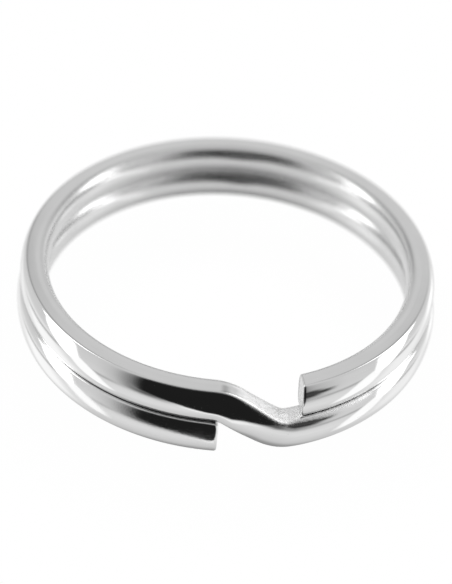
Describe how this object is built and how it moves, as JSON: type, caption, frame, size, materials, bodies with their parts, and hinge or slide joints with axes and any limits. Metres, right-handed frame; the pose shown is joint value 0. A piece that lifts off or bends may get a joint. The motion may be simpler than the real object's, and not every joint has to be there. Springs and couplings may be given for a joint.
{
  "type": "split key ring",
  "caption": "Flat-topped springy wire wound twice into a ring, with a stepped crossover between its coils and two free ends that lift apart to let a key on.",
  "frame": {"origin": "centre of the ring, on its axis, midway between the two coils", "axes": "+Z along the ring's axis, from the lower coil to the upper one; -Y from the centre to the front, where the wire crosses from the upper coil down to the lower; +X to the right as seen from the front"},
  "size_m": [0.025, 0.025, 0.004],
  "materials": {
    "bright_nickel": "bright nickel plate, mirror polished, with faint lengthwise drawing lines",
    "tooled_nickel": "bright nickel plate over forming-tool marks, mirror on the outer side and satin on the inner bend",
    "cut_nickel": "bright nickel plate over a sheared end with softly broken edges"
  },
  "bodies": {
    "crossover": {"crossover": "tooled_nickel"},
    "upper_free_end": {"upper_free_end": "cut_nickel"},
    "upper_back": {"upper_back": "bright_nickel"},
    "upper_left": {"upper_left": "bright_nickel"},
    "lower_free_end": {"lower_free_end": "cut_nickel"},
    "lower_left": {"lower_left": "bright_nickel"},
    "lower_back": {"lower_back": "bright_nickel"}
  },
  "joints": [
    {"name": "upper_left_twist", "type": "hinge", "parent": "crossover", "child": "upper_left", "pos_m": [-0.01055, -0.00454, 0.00103], "axis": [0.3955, -0.9184, 0], "range_deg": [0, 2.5], "stiffness_Nm_per_rad": 0.1},
    {"name": "upper_opening", "type": "hinge", "parent": "upper_left", "child": "upper_back", "pos_m": [-0.00454, 0.01055, 0.00103], "axis": [-0.9184, -0.3955, 0], "range_deg": [0, 5], "stiffness_Nm_per_rad": 0.1},
    {"name": "upper_right_twist", "type": "hinge", "parent": "upper_back", "child": "upper_free_end", "pos_m": [0.01055, 0.00454, 0.00103], "axis": [-0.3955, 0.9184, 0], "range_deg": [0, 2.5], "stiffness_Nm_per_rad": 0.1},
    {"name": "lower_right_twist", "type": "hinge", "parent": "crossover", "child": "lower_back", "pos_m": [0.01175, 0.00006, -0.00103], "axis": [0.0052, -1, 0], "range_deg": [0, 2.5], "stiffness_Nm_per_rad": 0.1},
    {"name": "lower_opening", "type": "hinge", "parent": "lower_back", "child": "lower_left", "pos_m": [-0.00006, 0.01175, -0.00103], "axis": [1, 0.0052, 0], "range_deg": [0, 5], "stiffness_Nm_per_rad": 0.1},
    {"name": "lower_left_twist", "type": "hinge", "parent": "lower_left", "child": "lower_free_end", "pos_m": [-0.01175, -0.00006, -0.00103], "axis": [-0.0052, 1, 0], "range_deg": [0, 2.5], "stiffness_Nm_per_rad": 0.1}
  ],
  "couplings": [
    {"joint": "upper_left_twist", "follows": "upper_opening", "ratio": 0.5},
    {"joint": "upper_right_twist", "follows": "upper_opening", "ratio": 0.5},
    {"joint": "lower_right_twist", "follows": "lower_opening", "ratio": 0.5},
    {"joint": "lower_left_twist", "follows": "lower_opening", "ratio": 0.5}
  ]
}
